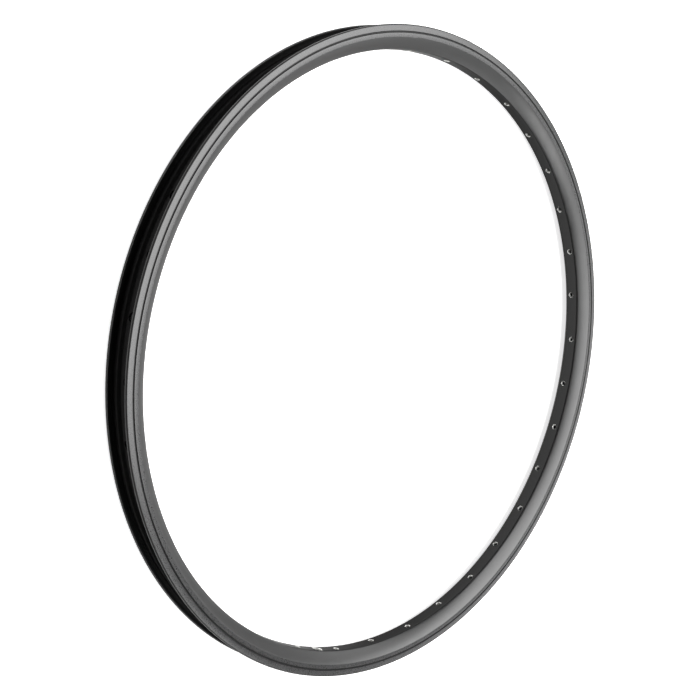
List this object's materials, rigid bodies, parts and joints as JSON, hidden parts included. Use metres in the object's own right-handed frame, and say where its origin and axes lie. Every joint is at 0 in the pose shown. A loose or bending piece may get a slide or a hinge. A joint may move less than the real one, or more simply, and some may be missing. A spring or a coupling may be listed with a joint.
{
  "type": "bicycle rim",
  "caption": "Black double-wall bicycle wheel rim with hooked flanges, brake tracks with wear grooves, spoke holes in two rows and a valve hole.",
  "frame": {"origin": "wheel centre, on the rim's middle plane", "axes": "+Z along the wheel axis, so the rim lies on its side; +X through the valve hole"},
  "size_m": [0.571, 0.571, 0.0284],
  "materials": {
    "black_anodised": "satin black anodised",
    "bare_aluminium": "as extruded"
  },
  "bodies": {
    "root": {"rim_hoop": "black_anodised", "joint_sleeve": "bare_aluminium"}
  },
  "joints": []
}
